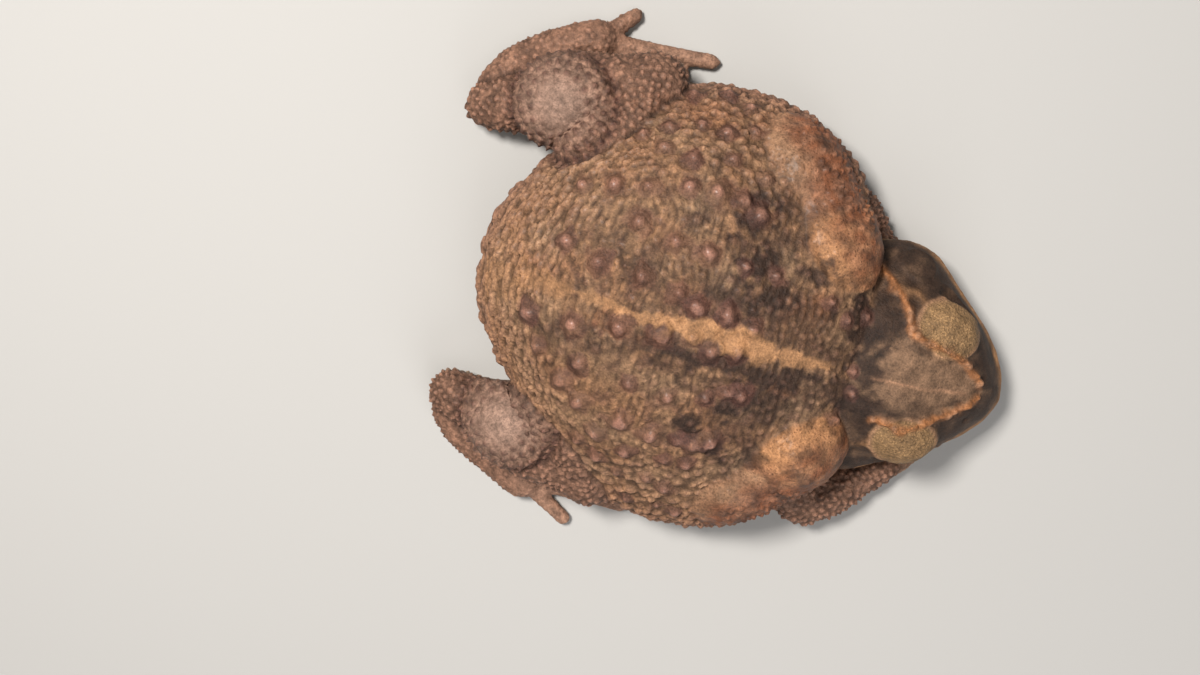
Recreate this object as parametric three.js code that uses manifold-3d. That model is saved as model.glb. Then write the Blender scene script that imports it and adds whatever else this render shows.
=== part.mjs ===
// A very large cane toad, life size, crouched with its belly, hands and feet on the ground.
// Millimetres. +X runs from rump to snout, +Y to the toad's left, +Z up. The origin is on the ground under the belly.
// Each soft form is a smooth blend of balls and rods, and a sphere's vertices are drawn in onto it.
// Limbs and toes are tubes along a curve. Each form is cut clear of the form that it grows from.
import * as THREE from "three";
import { mergeVertices } from "three/addons/utils/BufferGeometryUtils.js";
import Module from "manifold-3d";

const wasm = await Module();
wasm.setup();

// Driving sizes of the animal
const GAP = 0.3; // between two parts that touch
const BODY_HALF_LENGTH = 90;
const BODY_HALF_WIDTH = 108;
const BODY_HEIGHT = 88;
const BODY_MIDDLE_X = -37;
const BODY_SAG_Y = -5; // the loose flanks lean a little to the right
const HEAD_ROOT_X = 45; // where the head turns on the neck
const HEAD_YAW = -5; // degrees, the head is turned a little to the right
const HEAD_SHIFT_Y = -3.5; // and it lies a little to the right of the middle of the body
const HEAD_HALF_WIDTH = 55; // at the corners of the jaw
const SNOUT_X = 112;
const LIP_X = 126;
const LIP_Z = 23;
const CROWN_Z = 60;
const EYE_RADIUS = 10.5;
const EARDRUM_RADIUS = 8.5;
const CALF_RADIUS = 22.5;
const TOE_RADIUS = 4.3;
const FINGER_RADIUS = 3.9;
const WEB_THICKNESS = 1.6;
const BELOW = -2; // how far a cutting form reaches under the ground
const SIDES = { left: 1, right: -1 };

const vec = (x, y, z) => new THREE.Vector3(x, y, z);
const mirrored = ([x, y, z], side) => vec(x, y * side, z);
const UP = vec(0, 0, 1);

// Implicit forms: each is a function from a point to its distance from the surface, negative inside.

function ball(centre, radii, yaw = 0, pitch = 0) {
  const turn = new THREE.Quaternion()
    .setFromEuler(new THREE.Euler(0, THREE.MathUtils.degToRad(pitch), THREE.MathUtils.degToRad(yaw), "ZYX"))
    .invert();
  const p = vec(0, 0, 0);
  const q = vec(0, 0, 0);
  return (point) => {
    p.copy(point).sub(centre).applyQuaternion(turn).divide(radii);
    const near = p.length();
    const slope = q.copy(p).divide(radii).length();
    return slope < 1e-9 ? -Math.min(radii.x, radii.y, radii.z) : (near * (near - 1)) / slope;
  };
}

function rod(from, to, fromRadius, toRadius = fromRadius) {
  const along = to.clone().sub(from);
  const square = along.lengthSq();
  const p = vec(0, 0, 0);
  return (point) => {
    const t = THREE.MathUtils.clamp(p.copy(point).sub(from).dot(along) / square, 0, 1);
    return p.addScaledVector(along, -t).length() - THREE.MathUtils.lerp(fromRadius, toRadius, t);
  };
}

// The smooth union of several forms: softness is the width of the fillet between them.
function blend(softness, ...forms) {
  return (point) =>
    forms.reduce((least, form) => {
      const other = form(point);
      const share = Math.max(softness - Math.abs(least - other), 0) / softness;
      return Math.min(least, other) - (share * share * softness) / 4;
    }, 1e3);
}

// A form with a hollow pressed into it.
function pressed(form, softness, hollow) {
  return (point) => {
    const outside = form(point);
    const inside = -hollow(point);
    const share = Math.max(softness - Math.abs(outside - inside), 0) / softness;
    return Math.max(outside, inside) + (share * share * softness) / 4;
  };
}

// The outermost point of a form on a ray.
function surfaceAlong(form, centre, direction, reach, grow) {
  const step = 1.5;
  const p = vec(0, 0, 0);
  const value = (t) => form(p.copy(centre).addScaledVector(direction, t)) - grow;
  let t = reach;
  while (t > step && value(t) > 0) t -= step;
  let low = t;
  let high = t + step;
  for (let i = 0; i < 14; i++) {
    const middle = (low + high) / 2;
    if (value(middle) > 0) high = middle;
    else low = middle;
  }
  return vec(0, 0, 0).copy(centre).addScaledVector(direction, low);
}

function normalOf(form, point) {
  const e = 0.5;
  const slope = (axis) => form(point.clone().addScaledVector(axis, e)) - form(point.clone().addScaledVector(axis, -e));
  return vec(slope(vec(1, 0, 0)), slope(vec(0, 1, 0)), slope(vec(0, 0, 1))).normalize();
}

// A sphere's vertices drawn in along rays onto a form. Its poles lie on the X axis, and spread shares out the rays.
function wrapped(form, { centre, spread, around, along, reach = 170 }, grow = 0, floor = 0) {
  const geometry = new THREE.SphereGeometry(1, around, along).rotateZ(-Math.PI / 2);
  const position = geometry.getAttribute("position");
  const direction = vec(0, 0, 0);
  for (let i = 0; i < position.count; i++) {
    direction.fromBufferAttribute(position, i).multiply(spread).normalize();
    const point = surfaceAlong(form, centre, direction, reach, grow);
    position.setXYZ(i, point.x, point.y, Math.max(point.z, floor));
  }
  return solidOf(geometry);
}

// A round-ended tube along a smooth curve. height is how tall its section is for its width.
function tube(points, radii, { sides = 12, rings = 12, height = 1 } = {}, grow = 0, floor = 0) {
  const curve = new THREE.CatmullRomCurve3(points, false, "centripetal");
  const length = curve.getLength();
  const geometry = new THREE.SphereGeometry(1, sides, rings);
  const position = geometry.getAttribute("position");
  const first = radii[0];
  const last = radii[radii.length - 1];
  const unit = vec(0, 0, 0);
  for (let i = 0; i < position.count; i++) {
    unit.fromBufferAttribute(position, i);
    const place = -first + (length + first + last) * ((1 - unit.y) / 2);
    const share = THREE.MathUtils.clamp(place / length, 0, 1);
    const centre = curve.getPointAt(share);
    const tangent = curve.getTangentAt(share);
    centre.addScaledVector(tangent, place - share * length);
    const side = vec(0, 0, 1).cross(tangent).normalize();
    const up = tangent.clone().cross(side);
    const slot = share * (radii.length - 1);
    const whole = Math.min(Math.floor(slot), radii.length - 2);
    const base = THREE.MathUtils.lerp(radii[whole], radii[whole + 1], THREE.MathUtils.smoothstep(slot - whole, 0, 1));
    const past = Math.max(0, -place / first, (place - length) / last);
    const radius = (base + grow) * Math.sqrt(Math.max(0, 1 - past * past));
    const angle = Math.atan2(unit.z, unit.x);
    centre.addScaledVector(side, radius * Math.cos(angle)).addScaledVector(up, radius * Math.sin(angle) * height);
    if (past >= 0.999) centre.addScaledVector(tangent, Math.sign(place) * grow);
    position.setXYZ(i, centre.x, centre.y, Math.max(centre.z, floor));
  }
  return solidOf(geometry);
}

// Solids

function solidOf(geometry) {
  const bare = geometry.clone();
  bare.deleteAttribute("normal");
  bare.deleteAttribute("uv");
  const merged = mergeVertices(bare, 1e-3);
  const solid = new wasm.Manifold(
    new wasm.Mesh({
      numProp: 3,
      vertProperties: merged.getAttribute("position").array,
      triVerts: new Uint32Array(merged.index.array),
    }),
  );
  if (solid.volume() >= 0) return solid;
  const index = merged.index.array;
  for (let i = 0; i < index.length; i += 3) [index[i], index[i + 1]] = [index[i + 1], index[i]];
  return new wasm.Manifold(
    new wasm.Mesh({
      numProp: 3,
      vertProperties: merged.getAttribute("position").array,
      triVerts: new Uint32Array(index),
    }),
  );
}

function largest(solid) {
  return solid.decompose().reduce((a, b) => (b.volume() > a.volume() ? b : a));
}

function without(solid, ...tools) {
  return largest(tools.reduce((rest, tool) => rest.subtract(tool), solid));
}

function joined(...solids) {
  return solids.reduce((all, solid) => all.add(solid));
}

function sphere(centre, radius, across = 14, down = 10) {
  return solidOf(new THREE.SphereGeometry(radius, across, down).translate(centre.x, centre.y, centre.z));
}

function egg(centre, radii, turn = new THREE.Quaternion(), across = 14, down = 10) {
  const placing = new THREE.Matrix4().compose(centre, turn, radii);
  return solidOf(new THREE.SphereGeometry(1, across, down).applyMatrix4(placing));
}

const group = new THREE.Group();

function addNode(name, solid, colour, roughness = 0.75) {
  const { vertProperties, triVerts } = largest(solid).getMesh();
  const geometry = new THREE.BufferGeometry()
    .setAttribute("position", new THREE.BufferAttribute(vertProperties, 3))
    .setIndex(new THREE.BufferAttribute(triVerts, 1));
  geometry.computeVertexNormals();
  const mesh = new THREE.Mesh(geometry, new THREE.MeshStandardMaterial({ color: colour, roughness, metalness: 0 }));
  mesh.name = name;
  group.add(mesh);
}

const SKIN = 0x6b4c3a;
const GLAND = 0x7a4a33;
const DARK = 0x2b2421;
const EYE = 0xb08a3c;

// Torso: a low wide bag of a body that spreads on the ground, with shoulders and rump
const FLANK_OUT = 52; // from the middle to the centre of each flank's lobe
const FLANKS = {
  left: { x: -29, radii: vec(74, BODY_HALF_WIDTH - FLANK_OUT, 35) },
  right: { x: -17, radii: vec(66, BODY_HALF_WIDTH - FLANK_OUT - 1, 35) },
};
const bothSides = (make) => Object.values(SIDES).map(make);
const bodyForm = blend(
  18,
  ball(vec(BODY_MIDDLE_X, BODY_SAG_Y + 1, 29), vec(BODY_HALF_LENGTH - 3, 80, 35)),
  ball(vec(FLANKS.left.x, BODY_SAG_Y + FLANK_OUT, 27), FLANKS.left.radii),
  ball(vec(FLANKS.right.x, BODY_SAG_Y - FLANK_OUT, 27), FLANKS.right.radii),
  ball(vec(BODY_MIDDLE_X - 1, -1, BODY_HEIGHT - 47), vec(80, 82, 46)),
  ball(vec(6, -3, 36), vec(46, 70, 33), 0, -6),
  ball(vec(22, -2, 46), vec(34, 36, 21)),
  ball(vec(-101, 0, 30), vec(27, 42, 24)),
);
const BODY_RAYS = { centre: vec(BODY_MIDDLE_X, BODY_SAG_Y, 29), spread: vec(1, 1.05, 0.72), around: 36, along: 26 };

// Large warts stand in loose rows along the back and flanks. A row is a bent line seen from above.
const WART_ROWS = [
  { line: [[-4, 7], [-42, 11], [-92, 19]], count: 7, radius: 5 },
  { line: [[2, 30], [-28, 33], [-62, 38]], count: 5, radius: 4.4 },
  { line: [[-13, 54], [-44, 58], [-94, 46]], count: 7, radius: 5 },
  { line: [[-12, 71], [-36, 72], [-60, 72]], count: 4, radius: 4.2 },
  { line: [[-22, 87], [-45, 83], [-70, 76]], count: 5, radius: 3.9 },
  { line: [[-26, 96], [-38, 97], [-52, 96]], count: 3, radius: 3.8 },
  { line: [[-8, -9], [-40, -9], [-100, -15]], count: 7, radius: 5.2 },
  { line: [[2, -28], [-28, -38], [-92, -32]], count: 7, radius: 4.4 },
  { line: [[-4, -56], [-34, -59], [-80, -46]], count: 7, radius: 5 },
  { line: [[-13, -68], [-34, -71], [-60, -66]], count: 4, radius: 4.6 },
  { line: [[-20, -84], [-45, -84], [-66, -74]], count: 5, radius: 3.8 },
  { line: [[-8, -97], [-22, -98], [-36, -98]], count: 3, radius: 3.6 },
];
const WART_JITTER = 2.5;
const WART_HEIGHT = 0.55; // for a radius of 1
const WART_SINK = 0.2; // for a radius of 1

// A fixed run of numbers from 0 to 1 that look random
const scatter = (i) => THREE.MathUtils.euclideanModulo(Math.sin(i * 12.9898) * 43758.5453, 1);

function wart(x, y, radius, grow) {
  const place = surfaceAlong(bodyForm, vec(x, y, 15), UP, 90, 0);
  const normal = normalOf(bodyForm, place);
  const turn = new THREE.Quaternion().setFromUnitVectors(UP, normal);
  const sunk = radius * WART_SINK;
  const radii = vec(radius + grow, radius + grow, radius * WART_HEIGHT + sunk + grow);
  return egg(place.addScaledVector(normal, -sunk), radii, turn, 6, 4);
}

function warts(grow = 0) {
  const all = [];
  for (const { line, count, radius } of WART_ROWS) {
    const curve = new THREE.SplineCurve(line.map(([x, y]) => new THREE.Vector2(x, y)));
    for (let i = 0; i < count; i++) {
      const seed = 3 * all.length + 1;
      const spot = curve.getPoint(i / (count - 1));
      const x = spot.x + WART_JITTER * (2 * scatter(seed) - 1);
      const y = spot.y + WART_JITTER * (2 * scatter(seed + 1) - 1);
      all.push(wart(x, y, radius * (0.8 + 0.4 * scatter(seed + 2)), grow));
    }
  }
  return all;
}

const torso = joined(wrapped(bodyForm, BODY_RAYS), ...warts());
const torsoTool = joined(wrapped(bodyForm, BODY_RAYS, GAP, BELOW), ...warts(GAP));

// Head: wide and short, with a wedge of a snout, bony crests, domed lids and a rim of lip.
// It is made facing straight ahead, and then turned on the neck.
const headTurn = new THREE.Matrix4()
  .makeTranslation(HEAD_ROOT_X, HEAD_SHIFT_Y, 0)
  .multiply(new THREE.Matrix4().makeRotationZ(THREE.MathUtils.degToRad(HEAD_YAW)))
  .multiply(new THREE.Matrix4().makeTranslation(-HEAD_ROOT_X, 0, 0));
const turned = (solid) => solid.transform(headTurn.elements);

const headCore = blend(
  12,
  ball(vec(70, 0, 36), vec(46, 44, 23)),
  ball(vec(58, 0, 44), vec(34, 34, 19)),
  rod(vec(74, 0, 40), vec(SNOUT_X - 10, 0, 36), 20, 9),
  ...bothSides((side) => rod(vec(72, 26 * side, 27), vec(LIP_X - 15, 4 * side, 24), 17, 11)),
  ...bothSides((side) => ball(vec(58, 38 * side, 27), vec(24, HEAD_HALF_WIDTH - 36, 17), 12 * side)),
  ball(vec(72, 0, 22), vec(48, 38, 15)),
);
const EYE_CENTRE = [86, 28.5, 47];
const lids = bothSides((side) => ball(vec(84, 27 * side, 50), vec(16.5, 13.5, 11.5), -14 * side));
const crownHollow = ball(vec(92, 0, CROWN_Z + 11), vec(40, 13, 12), 0, 16);
const headForm = pressed(blend(5, headCore, ...lids), 6, crownHollow);
const HEAD_MIDDLE = vec(72, 0, 34);
const HEAD_RAYS = { centre: HEAD_MIDDLE, spread: vec(1, 1, 0.8), around: 34, along: 24, reach: 80 };

// Points of one crest seen from above, from the snout, over the eye, to the gland
const CREST = [
  [SNOUT_X - 4, 6],
  [98, 15],
  [86, 14],
  [74, 15],
  [68, 22],
  [63, 33],
  [57, 43],
];
const CREST_RADIUS = 2.2;
const onTop = (form, x, y, reach = 90) => surfaceAlong(form, vec(x, y, 20), UP, reach, 0);
const crestOf = (side) =>
  tube(
    CREST.map(([x, y]) => onTop(headForm, x, y * side).addScaledVector(UP, -0.4)),
    [CREST_RADIUS * 0.7, CREST_RADIUS, CREST_RADIUS],
    { sides: 6, rings: 13 },
  );

// The rim of the upper lip follows the widest line of the face, all the way round
const LIP_TURN = 118; // degrees from the snout to the corner of the jaw
const LIP_STEPS = 14;
const lipPoints = Array.from({ length: LIP_STEPS + 1 }, (_, i) => {
  const angle = THREE.MathUtils.degToRad(THREE.MathUtils.lerp(-LIP_TURN, LIP_TURN, i / LIP_STEPS));
  const level = vec(HEAD_MIDDLE.x - 6, 0, LIP_Z + 4.5);
  const out = surfaceAlong(headForm, level, vec(Math.cos(angle), Math.sin(angle), 0), 80, 0);
  return out.addScaledVector(vec(Math.cos(angle), Math.sin(angle), 0), -0.5);
});
const lipRim = tube(lipPoints, [1.6, 2.2, 2.2, 2.2, 1.6], { sides: 6, rings: 30 });

// The mouth is a thin cut between the upper head and the lower jaw, seen here from the side
function mouthTool(lift) {
  const line = [
    [30, LIP_Z - 6],
    [52, LIP_Z - 4],
    [74, LIP_Z + 0.5],
    [100, LIP_Z + 1.5],
    [LIP_X + 14, LIP_Z],
  ];
  const outline = new THREE.Shape([
    new THREE.Vector2(line[0][0], -20),
    new THREE.Vector2(LIP_X + 14, -20),
    ...line.reverse().map(([x, z]) => new THREE.Vector2(x, z + lift)),
  ]);
  const width = 4 * HEAD_HALF_WIDTH;
  const geometry = new THREE.ExtrudeGeometry(outline, { depth: width, bevelEnabled: false });
  return solidOf(geometry.rotateX(Math.PI / 2).translate(0, width / 2, 0));
}

function eardrum(side, grow = 0) {
  const from = vec(62, 20 * side, 36);
  const place = surfaceAlong(headForm, from, vec(0.06, side, 0.16).normalize(), 60, 0);
  const turn = new THREE.Quaternion().setFromUnitVectors(UP, normalOf(headForm, place));
  const radii = vec(EARDRUM_RADIUS + grow, EARDRUM_RADIUS + grow, 1.5 + grow);
  return turned(egg(place, radii, turn, 14, 6));
}

function nostril(side) {
  const out = vec(0.8, 0.42 * side, 0.5).normalize();
  const place = surfaceAlong(headForm, vec(94, 2 * side, 36), out, 60, 0);
  const turn = new THREE.Quaternion().setFromUnitVectors(UP, out);
  return egg(place, vec(1.3, 2, 3), turn, 8, 6);
}

const eyeBall = (side, grow = 0) => turned(sphere(mirrored(EYE_CENTRE, side), EYE_RADIUS + grow));
const eyeOpening = (side) => egg(mirrored([86.5, 40, 46], side), vec(9.5, 9, 5.5));
const headWhole = turned(
  joined(wrapped(headForm, HEAD_RAYS, 0, 1.5), lipRim, ...bothSides(crestOf)).subtract(
    joined(...bothSides(nostril), ...bothSides(eyeOpening)),
  ),
);
const upperHead = without(
  headWhole,
  torsoTool,
  turned(mouthTool(GAP / 2)),
  ...bothSides((side) => eyeBall(side, GAP)),
  ...bothSides((side) => eardrum(side, GAP)),
);
const lowerJaw = without(headWhole.intersect(turned(mouthTool(-GAP / 2))), torsoTool);

// Parotoid gland: a great bean from behind the eye down over the shoulder
const GLANDS = {
  left: { front: [24, 43, 49], rear: [3, 70, 42] },
  right: { front: [33, 50, 49], rear: [13, 74, 41] },
};
const GLAND_LEAN = -48; // degrees from straight back

function gland(name, grow = 0) {
  const side = SIDES[name];
  const front = mirrored(GLANDS[name].front, side);
  const rear = mirrored(GLANDS[name].rear, side);
  const form = blend(
    12,
    ball(front, vec(27, 24, 23), GLAND_LEAN * side),
    ball(rear, vec(31, 23, 22), GLAND_LEAN * side, 4),
  );
  const centre = front.clone().lerp(rear, 0.5);
  return wrapped(form, { centre, spread: vec(1, 1, 1), around: 20, along: 16, reach: 90 }, grow);
}

// Limbs. Each segment is a tube from joint to joint; the two sides rest a little differently.
const ARMS = {
  left: {
    shoulder: [20, 56, 32],
    elbow: [27, 63, 15],
    wrist: [60, 38, 9],
    palm: [73, 29, 7],
    fingers: [
      [74, 10],
      [84, 7],
      [92, 14],
      [92, 26],
    ],
  },
  right: {
    shoulder: [24, 64, 32],
    elbow: [52, 87, 15],
    wrist: [86, 61, 9],
    palm: [95, 48, 7],
    fingers: [
      [93, 29],
      [103, 26],
      [111, 33],
      [110, 44],
    ],
  },
};
const LEGS = {
  left: {
    hip: [-84, 46, 34],
    knee: [-72, 92, 30],
    calf: [-111, 76, 26],
    ankle: [-146, 65, 14],
    heel: [-141, 81, 10],
    instep: [-124, 96, 9],
    sole: [-104, 106, 8],
    toes: [
      [-82, 97],
      [-71, 97],
      [-60, 101],
      [-47, 110],
      [-89, 122],
    ],
  },
  right: {
    hip: [-78, 48, 34],
    knee: [-56, 96, 30],
    calf: [-98, 83, 26],
    ankle: [-132, 79, 14],
    heel: [-127, 94, 10],
    instep: [-108, 106, 9],
    sole: [-88, 116, 8],
    toes: [
      [-67, 107],
      [-56, 107],
      [-46, 111],
      [-34, 118],
      [-62, 133],
    ],
  },
};

// Toes or fingers from one palm, each with a swollen tip, and the web between neighbours
function digits(palm, tips, radius, webShare, side, grow = 0, floor = 0) {
  const parts = [];
  const root = mirrored(palm, side);
  const ends = tips.map(([x, y]) => mirrored([x, y, radius * 0.8], side));
  const radii = [radius * 1.15, radius, radius * 0.8, radius * 0.88];
  for (const end of ends) {
    const middle = root.clone().lerp(end, 0.5).setZ(radius * 1.25);
    const start = root.clone().lerp(end, 0.08).setZ(radius * 1.25);
    parts.push(tube([start, middle, end], radii, { sides: 7, rings: 6 }, grow, floor));
  }
  for (let i = 1; i < ends.length; i++) {
    const near = root.clone().lerp(ends[i - 1], webShare);
    const far = root.clone().lerp(ends[i], webShare);
    const hollow = near.clone().add(far).multiplyScalar(0.5).lerp(root, 0.35);
    const outline = new THREE.Shape([root, near, hollow, far].map((p) => new THREE.Vector2(p.x, p.y)));
    const web = new THREE.ExtrudeGeometry(outline, { depth: WEB_THICKNESS + 2 * grow, bevelEnabled: false });
    parts.push(solidOf(web.translate(0, 0, radius * 0.6 - grow)));
  }
  return parts;
}

function arm(name, grow = 0) {
  const side = SIDES[name];
  const at = (key) => mirrored(ARMS[name][key], side);
  const floor = grow > 0 ? BELOW : 0;
  const palm = tube([at("wrist"), at("palm")], [9, 10, 9.5], { sides: 12, rings: 8, height: 0.62 }, grow, floor);
  return {
    upper: tube([at("shoulder"), at("elbow")], [16, 14, 12.5], { sides: 12, rings: 10 }, grow, floor),
    fore: tube([at("elbow"), at("wrist")], [13, 14, 10.5, 9], { sides: 12, rings: 12 }, grow, floor),
    hand: joined(palm, ...digits(ARMS[name].palm, ARMS[name].fingers, FINGER_RADIUS, 0.25, side, grow, floor)),
  };
}

function leg(name, grow = 0) {
  const side = SIDES[name];
  const at = (key) => mirrored(LEGS[name][key], side);
  const floor = grow > 0 ? BELOW : 0;
  const calfRadii = [15, 18, CALF_RADIUS, CALF_RADIUS - 1.5, 14, 11.5];
  const instep = tube(
    [at("ankle"), at("heel"), at("instep"), at("sole")],
    [11, 10, 9.5, 9.5, 10],
    { sides: 12, rings: 14, height: 0.85 },
    grow,
    floor,
  );
  return {
    thigh: tube([at("hip"), at("knee")], [27, 25, 17], { sides: 16, rings: 12 }, grow, floor),
    shank: tube([at("knee"), at("calf"), at("ankle")], calfRadii, { sides: 16, rings: 16 }, grow, floor),
    foot: joined(instep, ...digits(LEGS[name].sole, LEGS[name].toes, TOE_RADIUS, 0.45, side, grow, floor)),
  };
}

const names = Object.keys(SIDES);
const glandTools = names.map((name) => gland(name, GAP));
const armTools = names.map((name) => arm(name, GAP));
const headTools = [...glandTools, ...armTools.flatMap((tools) => Object.values(tools))];

addNode("torso", torso, SKIN);
addNode("head", without(upperHead, ...headTools), SKIN);
addNode("lower_jaw", without(lowerJaw, ...headTools), SKIN);
names.forEach((name, i) => {
  const side = SIDES[name];
  addNode(`eye_${name}`, eyeBall(side), EYE, 0.15);
  addNode(`eardrum_${name}`, without(eardrum(side), torsoTool, ...glandTools), DARK);
  addNode(`parotoid_${name}`, without(gland(name), torsoTool), GLAND);

  const armPart = arm(name);
  addNode(`upper_arm_${name}`, without(armPart.upper, torsoTool, glandTools[i]), SKIN);
  addNode(`forearm_${name}`, without(armPart.fore, torsoTool, glandTools[i], armTools[i].upper), SKIN);
  addNode(`hand_${name}`, without(armPart.hand, torsoTool, armTools[i].fore), SKIN);

  const legPart = leg(name);
  const legTool = leg(name, GAP);
  addNode(`thigh_${name}`, without(legPart.thigh, torsoTool, legTool.foot), SKIN);
  addNode(`shank_${name}`, without(legPart.shank, torsoTool, legTool.thigh), SKIN);
  addNode(`foot_${name}`, without(legPart.foot, torsoTool, legTool.shank), SKIN);
});

export default group;
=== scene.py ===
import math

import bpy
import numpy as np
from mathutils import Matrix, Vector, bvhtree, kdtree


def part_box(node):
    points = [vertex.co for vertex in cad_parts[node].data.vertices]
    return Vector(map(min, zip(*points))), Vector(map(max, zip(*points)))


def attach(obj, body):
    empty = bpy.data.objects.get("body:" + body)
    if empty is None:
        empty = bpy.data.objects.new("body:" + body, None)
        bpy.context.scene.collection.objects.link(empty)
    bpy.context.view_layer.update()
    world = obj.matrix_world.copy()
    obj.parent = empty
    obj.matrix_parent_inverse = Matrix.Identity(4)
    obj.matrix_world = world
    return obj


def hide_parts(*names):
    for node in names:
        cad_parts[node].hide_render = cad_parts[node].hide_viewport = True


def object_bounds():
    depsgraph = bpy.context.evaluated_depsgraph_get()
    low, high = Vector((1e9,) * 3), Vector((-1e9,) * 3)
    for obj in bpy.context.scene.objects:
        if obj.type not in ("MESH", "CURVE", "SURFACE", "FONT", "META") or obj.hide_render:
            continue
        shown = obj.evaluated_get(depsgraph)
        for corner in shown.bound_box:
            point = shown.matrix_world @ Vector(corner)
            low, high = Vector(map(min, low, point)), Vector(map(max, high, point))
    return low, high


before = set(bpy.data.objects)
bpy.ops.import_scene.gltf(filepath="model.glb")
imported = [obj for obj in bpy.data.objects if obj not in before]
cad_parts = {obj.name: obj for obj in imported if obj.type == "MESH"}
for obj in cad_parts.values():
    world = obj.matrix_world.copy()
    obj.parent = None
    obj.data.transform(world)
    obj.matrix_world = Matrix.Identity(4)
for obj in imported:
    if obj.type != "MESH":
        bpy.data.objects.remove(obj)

# %% [markdown]
# A very large cane toad, life size, as a museum would show it: crouched, seen almost from above.
# The solids give every form its place and size, so this script only dresses them.
# One skin is drawn over all the flesh, shaped with warts and folds, and then coloured by nodes.
# The eyes stay pieces of their own, because they are wet and hard where the skin is dry and soft.

MM = 0.001  # the frame is in metres, and the sizes below are in millimetres
RANDOM = np.random.default_rng(7)
cad_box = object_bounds()
bpy.ops.object.select_all(action="DESELECT")


def only(*objects):
    """Selects these objects and nothing else, and makes the first one active."""
    bpy.ops.object.select_all(action="DESELECT")
    for each in objects:
        each.select_set(True)
    bpy.context.view_layer.objects.active = objects[0]


def applied(piece, kind, **settings):
    """Adds a modifier with these settings and applies it."""
    only(piece)
    modifier = piece.modifiers.new(kind.lower(), kind)
    for key, value in settings.items():
        setattr(modifier, key, value)
    bpy.ops.object.modifier_apply(modifier=modifier.name)


def smoothstep(low, high, value):
    """0 below low, 1 above high and a soft step between, also for high under low."""
    share = np.clip((value - low) / (high - low), 0, 1)
    return share * share * (3 - 2 * share)


print("the solids' box in mm:", [round(x / MM, 1) for corner in cad_box for x in corner])

# %% [markdown]
# The camera hangs over the animal's left side, a little behind its middle, and looks steeply down.
# A camera can be aimed with a constraint, but here its three axes are known, so they are given as a matrix.
# The picture's right-hand side runs along the animal, turned by a small roll.

# %% Camera
CAMERA_PLACE = Vector((-67.0, 125.9, 701.6)) * MM
CAMERA_LEAN = math.radians(13.0)
CAMERA_ROLL = math.radians(14.5)
CAMERA_LENS = 42.75

bpy.ops.object.camera_add()
camera = bpy.context.object
look_back = Vector((0, math.sin(CAMERA_LEAN), math.cos(CAMERA_LEAN)))
ahead = Vector((1, 0, 0))
across = look_back.cross(ahead)
right = math.cos(CAMERA_ROLL) * ahead + math.sin(CAMERA_ROLL) * across
upward = -math.sin(CAMERA_ROLL) * ahead + math.cos(CAMERA_ROLL) * across
aim = Matrix((right, upward, look_back)).transposed().to_4x4()
aim.translation = CAMERA_PLACE
camera.matrix_world = aim
camera.data.lens = CAMERA_LENS
camera.data.sensor_width = 36
bpy.context.scene.camera = camera
print("camera at", [round(x / MM) for x in CAMERA_PLACE], "mm")

# %% [markdown]
# A plain pale floor and soft light from large lamps, as in a studio.
# The main lamp hangs high and to one side, so that each wart gets a lit side and a shaded one.
# The world gives a dim even fill, so the shadows keep their colour.

# %% Floor and light
FLOOR_SIZE = 6.0
bpy.ops.mesh.primitive_plane_add(size=FLOOR_SIZE, location=(0, 0, -0.2 * MM))
floor = bpy.context.object
floor.name = "floor"
bpy.ops.object.transform_apply(location=True)


def soft_lamp(name, place, size, power, tint=(1, 1, 1)):
    """A square lamp at a place in metres that shines on the middle of the animal."""
    bpy.ops.object.light_add(type="AREA", location=place)
    lamp = bpy.context.object
    lamp.name = name
    lamp.data.size = size
    lamp.data.energy = power
    lamp.data.color = tint
    towards = Vector((-0.02, 0, 0.03)) - Vector(place)
    lamp.rotation_euler = towards.to_track_quat("-Z", "Y").to_euler()
    return lamp


soft_lamp("key", (-0.52, 0.40, 1.22), 0.26, 27, (1.0, 0.97, 0.93))
soft_lamp("overhead", (0.3, -0.2, 1.6), 1.0, 4.5, (1.0, 0.985, 0.96))
soft_lamp("fill", (0.6, -0.9, 0.7), 0.9, 6.5, (0.98, 0.985, 1.0))
world = bpy.data.worlds.new("studio")
bpy.context.scene.world = world
world.use_nodes = True
world.node_tree.nodes["Background"].inputs["Color"].default_value = (0.97, 0.975, 1.0, 1)
world.node_tree.nodes["Background"].inputs["Strength"].default_value = 0.18
bpy.context.scene.view_settings.view_transform = "Standard"

# %% [markdown]
# The skin starts as copies of the flesh solids. The solids have flat facets and thin gaps between them.
# Joining their faces by hand would take thousands of clicks, so the copies are fattened until they overlap,
# and a voxel remesh wraps them all in one even net of small squares.
# The torso has the largest facets, so its copy is remeshed coarsely and relaxed first.

# %% Copies of the flesh
REGION_OF = {
    "torso": "torso", "head": "head", "lower_jaw": "head", "eardrum": "head", "parotoid": "gland",
    "upper_arm": "arm", "forearm": "arm", "hand": "hand", "thigh": "leg", "shank": "leg", "foot": "foot",
}
REGIONS = sorted(set(REGION_OF.values()))
FLESH = sorted(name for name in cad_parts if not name.startswith("eye_"))
TORSO_VOXEL = 2.6 * MM
TORSO_ROUNDS = 34
FATTEN = 0.5 * MM
SKIN_VOXEL = 0.85 * MM


def region_of(node):
    plain = node.replace("_left", "").replace("_right", "")
    return REGIONS.index(REGION_OF[plain])


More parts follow.
